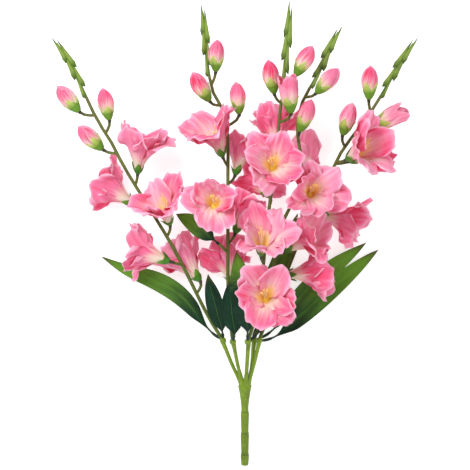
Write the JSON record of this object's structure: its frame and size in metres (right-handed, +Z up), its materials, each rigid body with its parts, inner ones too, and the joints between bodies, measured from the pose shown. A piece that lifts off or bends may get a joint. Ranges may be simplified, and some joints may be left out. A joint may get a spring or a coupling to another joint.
{
  "type": "artificial gladiolus bush",
  "caption": "Artificial gladiolus bush lying down: pink fabric blooms and buds, green bract tips and leaves on sprays that fork from one ringed plastic grip.",
  "frame": {"origin": "under the middle of the bush's bounding box, on the surface it lies on", "axes": "+Y along the bush from the grip's cut end to the spray tips, +X across it, +Z up from the surface"},
  "size_m": [0.51, 0.6552, 0.1785],
  "materials": {
    "grip_plastic": "satin moulded polyethylene, yellow green",
    "stem_plastic": "satin moulded polyethylene over wire, olive green",
    "tip_plastic": "satin moulded polyethylene, mid green, paler at the bract edges",
    "petal_fabric": "heat-set crinkled polyester, pink with a pale throat and hem",
    "bud_fabric": "rolled polyester, pink, whitish at the base, in a green calyx",
    "leaf_fabric": "coated polyester, embossed veins, mid to dark green"
  },
  "bodies": {
    "root": {"grip": "grip_plastic", "spray_stem_left": "stem_plastic", "tip_left": "tip_plastic", "bloom_left_1": "petal_fabric", "bloom_left_2": "petal_fabric", "bloom_left_3": "petal_fabric", "bloom_left_4": "petal_fabric", "bloom_left_5": "petal_fabric", "bud_left_1": "bud_fabric", "bud_left_2": "bud_fabric", "bud_left_3": "bud_fabric", "leaf_left_1": "leaf_fabric", "leaf_left_2": "leaf_fabric", "spray_stem_centre_left": "stem_plastic", "tip_centre_left": "tip_plastic", "bloom_centre_left_1": "petal_fabric", "bloom_centre_left_2": "petal_fabric", "bloom_centre_left_3": "petal_fabric", "bloom_centre_left_4": "petal_fabric", "bloom_centre_left_5": "petal_fabric", "bud_centre_left_1": "bud_fabric", "bud_centre_left_2": "bud_fabric", "bud_centre_left_3": "bud_fabric", "leaf_centre_left_1": "leaf_fabric", "leaf_centre_left_2": "leaf_fabric", "leaf_centre_left_3": "leaf_fabric", "spray_stem_centre": "stem_plastic", "tip_centre": "tip_plastic", "bloom_centre_1": "petal_fabric", "bloom_centre_2": "petal_fabric", "bloom_centre_3": "petal_fabric", "bloom_centre_4": "petal_fabric", "bloom_centre_5": "petal_fabric", "bud_centre_1": "bud_fabric", "bud_centre_2": "bud_fabric", "bud_centre_3": "bud_fabric", "leaf_centre_1": "leaf_fabric", "leaf_centre_2": "leaf_fabric", "spray_stem_centre_right": "stem_plastic", "tip_centre_right": "tip_plastic", "bloom_centre_right_1": "petal_fabric", "bloom_centre_right_2": "petal_fabric", "bloom_centre_right_3": "petal_fabric", "bloom_centre_right_4": "petal_fabric", "bud_centre_right_1": "bud_fabric", "bud_centre_right_2": "bud_fabric", "leaf_centre_right_1": "leaf_fabric", "spray_stem_right": "stem_plastic", "tip_right": "tip_plastic", "bloom_right_1": "petal_fabric", "bloom_right_2": "petal_fabric", "bloom_right_3": "petal_fabric", "bud_right_1": "bud_fabric", "bud_right_2": "bud_fabric", "bud_right_3": "bud_fabric", "leaf_right_1": "leaf_fabric", "leaf_right_2": "leaf_fabric"}
  },
  "joints": []
}
